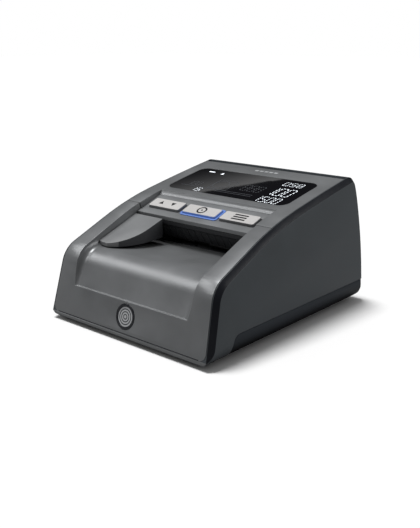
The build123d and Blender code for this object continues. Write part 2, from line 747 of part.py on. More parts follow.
def make_chassis(name, side):
    """Side plate that carries the shafts, with a foot flange."""
    outer = side * CHASSIS_X[1]
    inner = side * CHASSIS_X[0]
    foot = side * 44.0
    with BuildPart() as plate:
        block((min(inner, outer), 61.5, FLOOR_TOP), (max(inner, outer), 138.0, 42.2))
        block((min(inner, foot), 61.5, FLOOR_TOP), (max(inner, foot), 97.0, FLOOR_TOP + PLATE))
        block((-60, 118.0, 8.0), (60, 134.0, 26.0), Mode.SUBTRACT)
        for y in (FRONT_SHAFT_Y, REAR_SHAFT_Y):
            rod((-60, 60), y, DRIVE_Z, 3.65, Mode.SUBTRACT)
        for x, y in CHASSIS_SCREWS:
            post(x, y, (0, 8), 1.5, Mode.SUBTRACT)
        if side < 0:
            rod((-60, 0), IDLER_Y, DRIVE_Z, 1.95, Mode.SUBTRACT)
            rod((-60, 0), IDLER_Y, PINION_Z, 3.2, Mode.SUBTRACT)
    save(plate, name)


def make_drive_set(position, y):
    """Rubber-tyred drive shaft with its gear."""
    shaft_end = 56.0
    with BuildPart() as shaft:
        rod((-58.0, shaft_end), y, DRIVE_Z, SHAFT_R)
        chamfer(shaft.edges().filter_by(GeomType.CIRCLE), length=0.3)
    save(shaft, f"drive_shaft_{position}")
    with BuildPart() as rollers:
        for x in ROLLER_X:
            ends = (x - ROLLER_WIDTH / 2, x + ROLLER_WIDTH / 2)
            rod(ends, y, DRIVE_Z, DRIVE_R)
            rod(ends, y, DRIVE_Z, SHAFT_R, Mode.SUBTRACT)
    save(rollers, f"drive_rollers_{position}")
    make_gear(f"drive_gear_{position}", y, DRIVE_Z, ROLLER_TEETH, 0.0, SHAFT_R)


def make_pinch_set(position, y):
    """Upper pressure shaft with free-running rollers."""
    with BuildPart() as shaft:
        rod((-53.4, 53.4), y, PINCH_Z, PINCH_SHAFT_R)
        chamfer(shaft.edges().filter_by(GeomType.CIRCLE), length=0.3)
    save(shaft, f"pinch_shaft_{position}")
    with BuildPart() as rollers:
        for x in ROLLER_X:
            ends = (x - ROLLER_WIDTH / 2 + 0.5, x + ROLLER_WIDTH / 2 - 0.5)
            rod(ends, y, PINCH_Z, PINCH_R)
            rod(ends, y, PINCH_Z, PINCH_SHAFT_R, Mode.SUBTRACT)
    save(rollers, f"pinch_rollers_{position}")


def make_gear(name, y, z, teeth, first_angle, bore):
    """Spur gear with straight-flanked teeth, a hub web and a bore."""
    pitch_r = MODULE * teeth / 2
    root_r = pitch_r - 1.2 * MODULE
    tip_r = pitch_r + 0.8 * MODULE
    root_half = 0.30 * pi * MODULE
    tip_half = 0.12 * pi * MODULE
    with BuildPart() as gear:
        with BuildSketch(Plane(origin=(GEAR_X[0], FRONT_Y + y, z), x_dir=(0, 1, 0), z_dir=(1, 0, 0))):
            Circle(root_r)
            with PolarLocations(0, teeth, start_angle=first_angle):
                with BuildLine(mode=Mode.PRIVATE) as tooth:
                    sunk_r = root_r - 0.4
                    Polyline(
                        (sunk_r, -root_half), (tip_r, -tip_half),
                        (tip_r, tip_half), (sunk_r, root_half),
                        close=True,
                    )
                add(make_face(tooth.edges(), mode=Mode.PRIVATE))
            Circle(bore, mode=Mode.SUBTRACT)
        extrude(amount=GEAR_X[1] - GEAR_X[0])
    save(gear, name)


def make_shaft_bushes():
    """Flanged bushes, one in each side plate for each drive shaft."""
    with BuildPart() as bushes:
        for side in (-1, 1):
            for y in (FRONT_SHAFT_Y, REAR_SHAFT_Y):
                inner = side * (CHASSIS_X[0] - 1.0)
                rim = side * CHASSIS_X[0]
                outer = side * CHASSIS_X[1]
                rod(sorted((inner, rim)), y, DRIVE_Z, 4.8)
                rod(sorted((rim, outer)), y, DRIVE_Z, 3.6)
                rod(sorted((inner, outer)), y, DRIVE_Z, SHAFT_R + RUN_GAP, Mode.SUBTRACT)
    save(bushes, "shaft_bushes")


def make_motor():
    """Small direct-current motor, its pinion and the idler pin."""
    with BuildPart() as motor:
        rod((-50.8, -20.0), IDLER_Y, PINION_Z, 11.5)
        chamfer(motor.edges().filter_by(GeomType.CIRCLE), length=0.8)
        rod((-53.0, -50.8), IDLER_Y, PINION_Z, 3.0)
        rod((-20.0, -18.0), IDLER_Y, PINION_Z, 4.0)
        rod((-53.0, -44.0), IDLER_Y, PINION_Z, 1.0 + RUN_GAP, Mode.SUBTRACT)
    save(motor, "drive_motor")
    with BuildPart() as shaft:
        rod((-57.8, -44.5), IDLER_Y, PINION_Z, 1.0)
    save(shaft, "motor_shaft")
    make_gear("motor_pinion", IDLER_Y, PINION_Z, PINION_TEETH, 0.0, 1.0)
    half_tooth = 180.0 / IDLER_TEETH
    make_gear("idler_gear", IDLER_Y, DRIVE_Z, IDLER_TEETH, half_tooth, SHAFT_R + RUN_GAP)
    with BuildPart() as pin:
        rod((-57.9, -50.6), IDLER_Y, DRIVE_Z, 1.9)
        rod((-57.9, -53.1), IDLER_Y, DRIVE_Z, SHAFT_R)
    save(pin, "idler_pin")


def make_encoder():
    """Slotted disc on the rear drive shaft and its fork sensor."""
    with BuildPart() as disc:
        rod(ENCODER_X, REAR_SHAFT_Y, DRIVE_Z, 9.0)
        rod(ENCODER_X, REAR_SHAFT_Y, DRIVE_Z, SHAFT_R, Mode.SUBTRACT)
        hub = (ENCODER_X[0], FRONT_Y + REAR_SHAFT_Y, DRIVE_Z)
        with BuildSketch(Plane(origin=hub, x_dir=(0, 1, 0), z_dir=(1, 0, 0))):
            with PolarLocations(7.0, 18):
                Rectangle(2.6, 0.9)
        extrude(amount=1.0, mode=Mode.SUBTRACT)
    save(disc, "encoder_disc")
    with BuildPart() as fork:
        block((53.0, REAR_SHAFT_Y - 4, 19.0), (56.6, REAR_SHAFT_Y + 4, 30.0))
        block((53.6, REAR_SHAFT_Y - 5, 24.6), (55.2, REAR_SHAFT_Y + 5, 31.0), Mode.SUBTRACT)
    save(fork, "encoder_sensor")


# ---------------------------------------------------------------- electronics and fasteners

def make_main_board():
    """Control board on its posts, with the parts soldered to it."""
    with BuildPart() as board:
        block((-48, 15, BOARD_Z), (48, 58, BOARD_Z + PLATE))
        for x, y in BOARD_POSTS:
            post(x, y, (BOARD_Z - 1, BOARD_Z + 3), 1.6, Mode.SUBTRACT)
    save(board, "main_board")
    top = BOARD_Z + PLATE
    with BuildPart() as parts:
        block((-12, 28, top), (2, 42, top + 1.4))
        block((10, 24, top), (20, 34, top + 1.2))
        block((-36, 48, top), (-18, 54, top + 6.0))
        block((16, 48, top), (38, 54, top + 6.0))
        for y in (24, 34, 44):
            post(-34, y, (top, top + 9.0), 4.0)
    save(parts, "board_components")


def make_battery():
    """Rechargeable pack and the door that closes its bay."""
    with BuildPart() as pack:
        block((BATTERY_X[0] + 0.2, BATTERY_Y[0] + 0.2, 4.6), (BATTERY_X[1] - 0.2, BATTERY_Y[1] - 0.2, 21.0))
        fillet(pack.edges().filter_by(Axis.Y), radius=2.0)
    save(pack, "battery_pack")
    with BuildPart() as door:
        door_low = (BATTERY_X[0] - DOOR_OVERLAP, BATTERY_Y[0] - DOOR_OVERLAP, FOOT_HEIGHT)
        block(door_low, (BATTERY_X[1] + DOOR_OVERLAP, BATTERY_Y[1] + DOOR_OVERLAP, 3.8))
        for index in range(5):
            low = (8.0, BATTERY_Y[1] - 6 + index * 1.4, FOOT_HEIGHT)
            high = (22.0, BATTERY_Y[1] - 5.4 + index * 1.4, FOOT_HEIGHT + 0.5)
            block(low, high, Mode.SUBTRACT)
    save(door, "battery_door")


def make_rear_ports():
    """Power inlet, data port and rocker switch in the back wall."""
    with BuildPart() as jack:
        block((-45, 138, 18), (-35, PORT_FACE, 28))
        with BuildSketch(Plane(origin=(-40, FRONT_Y + PORT_FACE, 23), x_dir=(-1, 0, 0), z_dir=(0, 1, 0))):
            Circle(3.2)
            Circle(1.0, mode=Mode.SUBTRACT)
        extrude(amount=-9.0, mode=Mode.SUBTRACT)
    save(jack, "power_inlet")
    with BuildPart() as port:
        block((-28, 138, 20), (-20, PORT_FACE, 24))
        block((-27.2, PORT_FACE - 6.4, 20.8), (-20.8, DEPTH_LIMIT, 23.2), Mode.SUBTRACT)
    save(port, "data_port")
    pivot_y = PORT_FACE - 3.2
    with BuildPart() as housing:
        block((29, 140, 18), (45, PORT_FACE, 28))
        block((30.5, PORT_FACE - 7.4, 19.2), (43.5, DEPTH_LIMIT, 26.8), Mode.SUBTRACT)
        rod((29, 45), pivot_y, 23.0, 1.05, Mode.SUBTRACT)
    save(housing, "switch_housing")
    with BuildPart() as rocker:
        with BuildSketch(side_plane(37.0)):
            with BuildLine():
                Polyline(
                    (pivot_y - 2.0, 20.4), (pivot_y - 2.0, 25.6),
                    (pivot_y + 2.7, 25.9), (pivot_y + 2.0, 23.0), (pivot_y + 3.1, 20.1),
                    close=True,
                )
            make_face()
        extrude(amount=6.2, both=True)
        rod((29.2, 44.8), pivot_y, 23.0, 1.0)
    save(rocker, "power_rocker")


def make_speaker():
    """Small warning sounder on the floor."""
    with BuildPart() as sounder:
        post(30.0, 74.0, (FLOOR_TOP, 10.0), 7.0)
        post(30.0, 74.0, (9.0, 10.0), 1.2, Mode.SUBTRACT)
    save(sounder, "sounder")


def screw(x, y, seat, length, head_r, up=1):
    """Pan-head screw, its head seated at this height and its shank pointing up, or down for -1."""
    post(x, y, sorted((seat, seat - up)), head_r)
    post(x, y, sorted((seat, seat + up * length)), 1.15)
    slot = sorted((seat - up, seat - up * 0.4))
    for half_x, half_y in ((1.1, 0.3), (0.3, 1.1)):
        block((x - half_x, y - half_y, slot[0]), (x + half_x, y + half_y, slot[1]), Mode.SUBTRACT)


def make_screws():
    """Screw groups: casing, cover, side plates and board."""
    board_top = BOARD_Z + PLATE
    groups = {
        "casing_screws": (CASING_SCREWS, 3.2, 6.0, 2.4, 1),
        "guide_screws": (GUIDE_SCREWS, UPPER_PLATE_Z, 8.0, 2.2, 1),
        "chassis_screws": (CHASSIS_SCREWS, FLOOR_TOP + PLATE, 3.5, 2.2, -1),
        "board_screws": (BOARD_POSTS, board_top, 1.5, 2.6, -1),
    }
    for name, (places, seat, length, head_r, up) in groups.items():
        with BuildPart() as screws:
            for x, y in places:
                screw(x, y, seat, length, head_r, up)
        save(screws, name)


make_body_shell()
make_base_tray()
make_rubber_feet()
make_front_frame()
make_badge()
make_note_guide()
make_top_cover()
make_hinge_pins()
make_throat_panel()
make_display()
make_keys()
make_key_parts()
make_upper_guide()
make_lower_guide()
make_sensors()
make_chassis("chassis_left", -1)
make_chassis("chassis_right", 1)
make_drive_set("front", FRONT_SHAFT_Y)
make_drive_set("rear", REAR_SHAFT_Y)
make_pinch_set("front", FRONT_SHAFT_Y)
make_pinch_set("rear", REAR_SHAFT_Y)
make_shaft_bushes()
make_motor()
make_encoder()
make_main_board()
make_battery()
make_rear_ports()
make_speaker()
make_screws()
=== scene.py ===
"""Looks of the compact banknote counter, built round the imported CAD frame. Metres throughout."""

import json
import math

import bmesh
import bpy
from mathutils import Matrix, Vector


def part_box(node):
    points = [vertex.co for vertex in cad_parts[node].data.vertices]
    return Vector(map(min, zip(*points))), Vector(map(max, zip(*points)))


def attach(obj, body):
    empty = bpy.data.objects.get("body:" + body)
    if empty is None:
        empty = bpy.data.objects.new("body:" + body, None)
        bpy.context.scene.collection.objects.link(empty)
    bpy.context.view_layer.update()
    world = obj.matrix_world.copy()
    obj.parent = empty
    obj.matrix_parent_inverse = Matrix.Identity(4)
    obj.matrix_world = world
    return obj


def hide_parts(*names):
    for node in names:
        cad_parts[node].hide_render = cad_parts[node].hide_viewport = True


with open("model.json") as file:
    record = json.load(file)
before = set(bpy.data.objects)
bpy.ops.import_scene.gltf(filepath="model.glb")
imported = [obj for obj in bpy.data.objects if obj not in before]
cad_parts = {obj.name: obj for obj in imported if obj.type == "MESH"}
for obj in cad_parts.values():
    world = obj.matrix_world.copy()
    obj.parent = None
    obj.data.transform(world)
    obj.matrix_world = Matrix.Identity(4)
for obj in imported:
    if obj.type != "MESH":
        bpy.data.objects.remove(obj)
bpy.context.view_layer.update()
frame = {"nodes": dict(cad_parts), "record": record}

MM = 0.001
SCENE = bpy.context.scene

# camera: metres, degrees and millimetres of lens
CAMERA_PLACE = (0.2893, -0.3364, 0.1606)
CAMERA_HEADING = 40.85
CAMERA_PITCH = 16.62
CAMERA_LENS = 51.28

# surroundings: how bright the world is to soft light and to reflections, and the floor to light and camera
WORLD_FILL = 0.24
WORLD_GLOSSY = 0.02
FLOOR_SIDE = 12.0
FLOOR_BOUNCE = (0.40, 0.40, 0.40)
FLOOR_WHITE = (1.0, 1.0, 1.0)

# lights; each lamp has its place in metres, the side of its square and its watts
SUN_DIRECTION = (-0.22, 0.0, 1.0)
SUN_POWER = 2.6
SUN_SPREAD = 18.0
LIGHT_TARGET = (0.0, 0.0, 0.03)
LAMPS = (
    ("front_soft", (-0.45, -0.70, 0.85), 0.4, 2.8),
    ("right_soft", (0.66, 0.42, 0.50), 0.55, 3.2),
    ("nose_soft", (-0.55, -0.24, 0.64), 0.36, 2.2),
)

# panel that makes the slanting sheen on the window: two points of its bright edge, metres, and its glow
REFLECTOR_EDGE = ((-0.578, 0.75, 0.550), (-0.821, 0.75, 0.666))
REFLECTOR_REACH = 0.5
REFLECTOR_WIDTH = 0.11
REFLECTOR_FALLOFF = 2.4
REFLECTOR_GAIN = 0.6

# finishes: features per metre of the slow drift, and millimetres of worn edge
DRIFT_SCALE = 45.0
DRIFT_DETAIL = 3.0
GRAIN_DETAIL = 2.0
GRAIN_STRENGTH = 0.5
SPECKLE_SHARE = 0.12
SPECKLE_GAIN = 1.25
WORN_EDGE = 0.35
COAT_ROUGH = 0.12

# rounding of the carried-over shapes: millimetres and degrees
WELD = 0.002
FLAT_ANGLE = 0.6
SHARP_ANGLE = 24.0
ROUND_SEGMENTS = 3

# the face profile, as (distance behind the front edge, height) in millimetres
FACE_FOOT = (-1.23, 5.0)
FRONT_ANGLE = 75.7
FRONT_LENGTH = 30.34
NOSE_R = 16.0
RAIL_ANGLE = 24.0
RAIL_LENGTH = 26.0
BROW_R = 200.0
DECK_START = 12.5
DECK_R = 1300.0
WINDOW_SUNK = 0.15
FRONT_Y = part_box("body_shell")[0].y - FACE_FOOT[0] * MM

# keys and their symbols, in millimetres from the middle of the centre key
KEY_SLOPE = 20.2
KEY_Y = 65.95
KEY_Z = 61.861
KEY_PROUD = 1.8
KEY_RING_R = 2.9
KEY_RING_STROKE = 1.0
KEY_DOT_R = 0.65
KEY_BARS_Y = (-2.2, 0.0, 2.2)
KEY_BARS_X = (24.0, 33.6)
KEY_BAR_HALF = 0.55

# other printed marks, and the dark strip of painted shade along the front frame's seam, in millimetres
PRINT_THICK = 0.05
BADGE_DISC_R = 5.5
BADGE_RINGS = (1.3, 2.8, 4.3)
BADGE_STROKE = 0.55
MAKER_BARS_X = (-8.4, -4.6, -0.8, 3.0, 6.8)
MAKER_BAR_WIDTH = 2.6
MAKER_BARS_Y = (127.0, 128.8)
# the seam strip: a dark strip laid in the groove under the front frame as painted shade
SEAM_HALF = 56.0
SEAM_SUNK = 0.03
SEAM_HEIGHT = 0.42
SEAM_RISE = 0.08

# digits of the display: text, left end, foot, width, height, pitch and stroke in millimetres
LIT_DIGITS = (
    ("058", 25.2, 110.8, 3.4, 5.2, 5.0, 0.28),
    ("100", 22.4, 95.2, 4.4, 11.0, 6.2, 0.36),
    ("1500", 21.8, 84.2, 3.1, 7.6, 4.7, 0.3),
    ("15", -27.5, 84.4, 2.7, 4.8, 4.2, 0.3),
)
FAINT_LEFT_DIGITS = ("100", -37.2, 92.4, 2.4, 5.4, 3.6, 0.4)
FAINT_RIGHT_DIGITS = ("888", 4.0, 95.2, 3.6, 9.0, 5.2, 0.4)
DIGIT_SLANT = 0.1
DASH_GAP = 0.08


# ---------------------------------------------------------------- camera, stage and light

def add_camera():
    """Three-quarter view from the front right, a little above."""
    heading = math.radians(CAMERA_HEADING)
    pitch = math.radians(CAMERA_PITCH)
    forward = Vector((
        -math.sin(heading) * math.cos(pitch), math.cos(heading) * math.cos(pitch), -math.sin(pitch),
    ))
    data = bpy.data.cameras.new("view")
    data.sensor_width = 36.0
    data.lens = CAMERA_LENS
    data.clip_start = 0.01
    data.clip_end = 50.0
    camera = bpy.data.objects.new("view", data)
    camera.location = CAMERA_PLACE
    camera.rotation_euler = forward.to_track_quat("-Z", "Y").to_euler()
    SCENE.collection.objects.link(camera)
    SCENE.camera = camera


def add_area(name, location, size, watts, spared):
    """Soft square light aimed at the object, hidden from the camera, that leaves one surface unlit."""
    data = bpy.data.lights.new(name, "AREA")
    data.shape = "RECTANGLE"
    data.size = size
    data.size_y = size
    data.energy = watts
    lamp = bpy.data.objects.new(name, data)
    lamp.location = location
    lamp.rotation_euler = (Vector(LIGHT_TARGET) - Vector(location)).to_track_quat("-Z", "Y").to_euler()
    lamp.visible_camera = False
    SCENE.collection.objects.link(lamp)
    unlit = bpy.data.collections.new(name + "_unlit")
    unlit.objects.link(spared)
    unlit.collection_objects[0].light_linking.link_state = "EXCLUDE"
    lamp.light_linking.receiver_collection = unlit


def add_sun(direction, power):
    """Broad even light over the whole floor."""
    data = bpy.data.lights.new("ceiling", "SUN")
    data.energy = power
    data.angle = math.radians(SUN_SPREAD)
    lamp = bpy.data.objects.new("ceiling", data)
    lamp.rotation_euler = (-Vector(direction)).to_track_quat("-Z", "Y").to_euler()
    lamp.visible_camera = False
    SCENE.collection.objects.link(lamp)


def add_floor():
    """Plain floor: pure white to the camera, and greyer where it lights the object."""
    bpy.ops.mesh.primitive_plane_add(size=FLOOR_SIDE, location=(0, 0, 0))
    floor = bpy.context.active_object
    floor.name = "floor"
    material = bpy.data.materials.new("floor_white")
    material.use_nodes = True
    shader = material.node_tree.nodes["Principled BSDF"]
    shader.inputs["Roughness"].default_value = 0.9
    shader.inputs["Specular IOR Level"].default_value = 0.0
    tree = material.node_tree
    path = tree.nodes.new("ShaderNodeLightPath")
    seen = mix_colour(tree, path.outputs["Is Camera Ray"], FLOOR_BOUNCE, FLOOR_WHITE)
    tree.links.new(seen, shader.inputs["Base Color"])
    floor.data.materials.append(material)
    return floor


def add_world():
    """White behind the object, dim for its own reflections and its soft fill."""
    world = bpy.data.worlds.new("studio")
    SCENE.world = world
    world.use_nodes = True
    tree = world.node_tree
    background = tree.nodes["Background"]
    background.inputs["Color"].default_value = (1.0, 1.0, 1.0, 1.0)
    path = tree.nodes.new("ShaderNodeLightPath")
    # a plain mix node takes its two numbers at inputs 2 and 3
    glossy = tree.nodes.new("ShaderNodeMix")
    glossy.inputs[2].default_value = WORLD_FILL
    glossy.inputs[3].default_value = WORLD_GLOSSY
    tree.links.new(path.outputs["Is Glossy Ray"], glossy.inputs[0])
    seen = tree.nodes.new("ShaderNodeMix")
    seen.inputs[3].default_value = 1.0
    tree.links.new(path.outputs["Is Camera Ray"], seen.inputs[0])
    tree.links.new(glossy.outputs[0], seen.inputs[2])
    tree.links.new(seen.outputs[0], background.inputs["Strength"])


def add_reflector():
    """Dim graded panel behind the object, seen only as the slanting sheen on the display window."""
    near, far = [Vector(point) for point in REFLECTOR_EDGE]
    along = (far - near).normalized()
    across_panel = Vector((-along.z, 0.0, along.x)) * REFLECTOR_WIDTH
    low = near - along * REFLECTOR_REACH
    high = far + along * REFLECTOR_REACH
    mesh = bpy.data.meshes.new("reflector")
    mesh.from_pydata([low, high, high + across_panel, low + across_panel], [], [(0, 1, 2, 3)])
    panel = bpy.data.objects.new("reflector", mesh)
    SCENE.collection.objects.link(panel)
    across = mesh.attributes.new("across", "FLOAT", "POINT")
    across.data.foreach_set("value", [1.0, 1.0, 0.0, 0.0])
    material = bpy.data.materials.new("reflector_glow")
    material.use_nodes = True
    tree = material.node_tree
    tree.nodes.clear()
    out = tree.nodes.new("ShaderNodeOutputMaterial")
    glow = tree.nodes.new("ShaderNodeEmission")
    share = tree.nodes.new("ShaderNodeAttribute")
    share.attribute_name = "across"
    power = tree.nodes.new("ShaderNodeMath")
    power.operation = "POWER"
    power.inputs[1].default_value = REFLECTOR_FALLOFF
    gain = tree.nodes.new("ShaderNodeMath")
    gain.operation = "MULTIPLY"
    gain.inputs[1].default_value = REFLECTOR_GAIN
    tree.links.new(share.outputs["Fac"], power.inputs[0])
    tree.links.new(power.outputs[0], gain.inputs[0])
    tree.links.new(gain.outputs[0], glow.inputs["Strength"])
    tree.links.new(glow.outputs[0], out.inputs["Surface"])
    mesh.materials.append(material)
    panel.visible_camera = False
    panel.visible_diffuse = False
    panel.visible_shadow = False


def add_stage():
    """Floor, surroundings and soft lights."""
    floor = add_floor()
    add_world()
    add_reflector()
    add_sun(SUN_DIRECTION, SUN_POWER)
    for name, location, size, watts in LAMPS:
        add_area(name, location, size, watts, floor)
    SCENE.view_settings.view_transform = "Standard"


# ---------------------------------------------------------------- materials

def node(tree, kind, **values):
    """Shader node with its inputs set by name."""
    made = tree.nodes.new(kind)
    for key, value in values.items():
        made.inputs[key.replace("_", " ")].default_value = value
    return made


def noise(tree, coords, scale, detail):
    """Noise texture in object space; scale is features per metre."""
    made = node(tree, "ShaderNodeTexNoise", Scale=scale, Detail=detail)
    tree.links.new(coords.outputs["Object"], made.inputs["Vector"])
    return made


def remap(tree, source, low, high):
    """Stretch the useful middle of a noise value to a range."""
    made = tree.nodes.new("ShaderNodeMapRange")
    made.inputs["From Min"].default_value = 0.3
    made.inputs["From Max"].default_value = 0.7
    made.inputs["To Min"].default_value = low
    made.inputs["To Max"].default_value = high
    tree.links.new(source, made.inputs["Value"])
    return made.outputs["Result"]


def mix_colour(tree, factor, first, second):
    """Mix two colours, or colour sockets, by a factor socket; the node has them at inputs 6 and 7."""
    made = tree.nodes.new("ShaderNodeMix")
    made.data_type = "RGBA"
    tree.links.new(factor, made.inputs["Factor"])
    for index, value in ((6, first), (7, second)):
        if isinstance(value, tuple):
            made.inputs[index].default_value = (*value, 1.0)
        else:
            tree.links.new(value, made.inputs[index])
    return made.outputs[2]


def edge_mask(tree, radius):
    """1 on sharp edges, 0 elsewhere, from the bevel normal against the true normal."""
    bevel = tree.nodes.new("ShaderNodeBevel")
    bevel.samples = 4
    bevel.inputs["Radius"].default_value = radius
    geometry = tree.nodes.new("ShaderNodeNewGeometry")
    dot = tree.nodes.new("ShaderNodeVectorMath")
    dot.operation = "DOT_PRODUCT"
    tree.links.new(bevel.outputs["Normal"], dot.inputs[0])
    tree.links.new(geometry.outputs["Normal"], dot.inputs[1])
    made = tree.nodes.new("ShaderNodeMapRange")
    made.inputs["From Min"].default_value = 0.995
    made.inputs["From Max"].default_value = 0.86
    tree.links.new(dot.outputs["Value"], made.inputs["Value"])
    return made.outputs["Result"]


def painted_shade_below(tree, coords, colour, low, high, floor_share):
    """Painted shade: colour darkened from one height (mm) down to another, standing in for the shade under
    the body near the floor.
    """
    split = tree.nodes.new("ShaderNodeSeparateXYZ")
    tree.links.new(coords.outputs["Object"], split.inputs["Vector"])
    share = tree.nodes.new("ShaderNodeMapRange")
    share.interpolation_type = "SMOOTHSTEP"
    share.inputs["From Min"].default_value = low * MM
    share.inputs["From Max"].default_value = high * MM
    share.inputs["To Min"].default_value = floor_share
    tree.links.new(split.outputs["Z"], share.inputs["Value"])
    made = tree.nodes.new("ShaderNodeVectorMath")
    made.operation = "SCALE"
    tree.links.new(colour, made.inputs[0])
    tree.links.new(share.outputs["Result"], made.inputs["Scale"])
    return made.outputs["Vector"]


def scaled(colour, gain):
    """A colour made lighter or darker."""
    return tuple(min(1.0, channel * gain) for channel in colour)


def surface(
    name, colour, rough, grain=2600.0, depth=0.02, metal=0.0, coat=0.0, wear=1.35, drift=0.08, spread=0.05,
    stretch=None, specular=0.5, glow=None, shade_below=None,
):
    """Procedural finish: drifting colour, uneven roughness, fine grain and lighter worn edges, with painted
    shade towards the bottom where asked.
    """
    material = bpy.data.materials.new(name)
    material.use_nodes = True
    tree = material.node_tree
    shader = tree.nodes["Principled BSDF"]
    coords = tree.nodes.new("ShaderNodeTexCoord")
    broad = noise(tree, coords, DRIFT_SCALE, DRIFT_DETAIL)
    fine = noise(tree, coords, grain, GRAIN_DETAIL)
    if stretch:
        squeeze = tree.nodes.new("ShaderNodeMapping")
        squeeze.inputs["Scale"].default_value = stretch
        tree.links.new(coords.outputs["Object"], squeeze.inputs["Vector"])
        tree.links.new(squeeze.outputs["Vector"], fine.inputs["Vector"])
    drifting = remap(tree, broad.outputs["Fac"], 0.0, 1.0)
    tint = mix_colour(tree, drifting, scaled(colour, 1 - drift), scaled(colour, 1 + drift))
    grains = remap(tree, fine.outputs["Fac"], 0.0, SPECKLE_SHARE)
    speckle = mix_colour(tree, grains, tint, scaled(colour, SPECKLE_GAIN))
    worn = mix_colour(tree, edge_mask(tree, WORN_EDGE * MM), speckle, scaled(colour, wear))
    # painted shade: the colour darkens towards the floor, standing in for the shade under the body
    if shade_below:
        worn = painted_shade_below(tree, coords, worn, *shade_below)
    tree.links.new(worn, shader.inputs["Base Color"])
    tree.links.new(
        remap(tree, broad.outputs["Fac"], max(0.02, rough - spread), min(1.0, rough + spread)),
        shader.inputs["Roughness"],
    )
    bump = tree.nodes.new("ShaderNodeBump")
    bump.inputs["Strength"].default_value = GRAIN_STRENGTH
    bump.inputs["Distance"].default_value = depth * MM
    tree.links.new(fine.outputs["Fac"], bump.inputs["Height"])
    tree.links.new(bump.outputs["Normal"], shader.inputs["Normal"])
    shader.inputs["Metallic"].default_value = metal
    shader.inputs["Coat Weight"].default_value = coat
    shader.inputs["Coat Roughness"].default_value = COAT_ROUGH
    shader.inputs["Specular IOR Level"].default_value = specular
    if glow:
        shader.inputs["Emission Color"].default_value = (*glow[0], 1.0)
        shader.inputs["Emission Strength"].default_value = glow[1]
    return material


def make_materials():
    """One finish for each material slot of the record, and the few that share a piece."""
    rows = (
        ("shell_plastic", (0.048, 0.055, 0.061), 0.48, {"depth": 0.03, "specular": 0.3}),
        # near-black painted shade and painted dark reflection for the chamfer round the shell's sides
        ("shell_rim_painted_shade", (0.008, 0.009, 0.012), 0.36, {"depth": 0.01, "specular": 0.2}),
        # base tray: colour painted darker from 13 mm down to 3 mm, a painted shade under the body
        ("base_plastic", (0.026, 0.030, 0.036), 0.5, {
            "depth": 0.03, "specular": 0.12, "shade_below": (3.0, 13.0, 0.1),
        }),
        ("frame_plastic", (0.146, 0.151, 0.156), 0.36, {
            "grain": 3600.0, "depth": 0.006, "wear": 1.2, "metal": 0.3,
        }),
        # darker colour for the note guide's side wall: painted shade
        ("guide_flank_painted_shade", (0.052, 0.054, 0.058), 0.5, {"depth": 0.012, "specular": 0.2}),
        ("guide_plastic", (0.14, 0.144, 0.148), 0.4, {"depth": 0.012}),
        ("throat_plastic", (0.018, 0.019, 0.021), 0.42, {"depth": 0.02, "specular": 0.3}),
        ("window_black", (0.003, 0.003, 0.004), 0.03, {"grain": 1500.0, "depth": 0.0002, "spread": 0.008}),
        ("key_plastic", (0.40, 0.392, 0.386), 0.42, {"depth": 0.006, "drift": 0.03, "wear": 1.06}),
        # darker colour for the sides of the left and right keys: painted shade
        ("key_flank_painted_shade", (0.11, 0.112, 0.118), 0.42, {"depth": 0.006}),
        ("key_print", (0.008, 0.008, 0.010), 0.6, {"depth": 0.004, "specular": 0.1}),
        ("light_guide", (0.09, 0.17, 0.44), 0.3, {"depth": 0.006, "glow": ((0.10, 0.18, 0.50), 0.16)}),
        ("display_light", (0.7, 0.72, 0.75), 0.4, {"depth": 0.004, "glow": ((0.85, 0.92, 1.0), 1.1)}),
        ("display_faint", (0.03, 0.032, 0.036), 0.4, {"depth": 0.004, "glow": ((0.8, 0.85, 1.0), 0.035)}),
        ("badge_dark", (0.012, 0.013, 0.016), 0.25, {"depth": 0.004}),
        ("badge_pale", (0.40, 0.41, 0.42), 0.34, {"depth": 0.006, "metal": 0.2}),
        ("steel", (0.55, 0.56, 0.57), 0.24, {
            "grain": 900.0, "depth": 0.004, "metal": 1.0, "stretch": (0.05, 1, 1),
        }),
        ("motor_steel", (0.48, 0.48, 0.47), 0.34, {"grain": 1400.0, "metal": 1.0, "stretch": (0.1, 1, 1)}),
        ("plate_steel", (0.56, 0.57, 0.54), 0.38, {"grain": 1300.0, "metal": 1.0, "stretch": (1, 0.06, 1)}),
        ("roller_rubber", (0.022, 0.022, 0.024), 0.72, {"grain": 3000.0, "depth": 0.03}),
        ("feet_rubber", (0.016, 0.016, 0.017), 0.75, {"grain": 2400.0, "depth": 0.03}),
        ("gear_plastic", (0.72, 0.70, 0.65), 0.42, {"depth": 0.01, "wear": 1.1}),
        ("bronze", (0.50, 0.30, 0.12), 0.4, {"grain": 4000.0, "metal": 1.0}),
        ("circuit_board", (0.012, 0.11, 0.045), 0.32, {"grain": 1200.0, "depth": 0.01, "coat": 0.3}),
        ("components", (0.02, 0.02, 0.022), 0.5, {"depth": 0.015}),
        ("sensor_glass", (0.03, 0.04, 0.05), 0.12, {"grain": 1500.0, "depth": 0.001, "coat": 0.5}),
        ("battery_wrap", (0.05, 0.11, 0.34), 0.3, {"grain": 700.0, "coat": 0.2}),
    )
    return {name: surface(name, colour, rough, **rest) for name, colour, rough, rest in rows}


# ---------------------------------------------------------------- carried-over CAD nodes

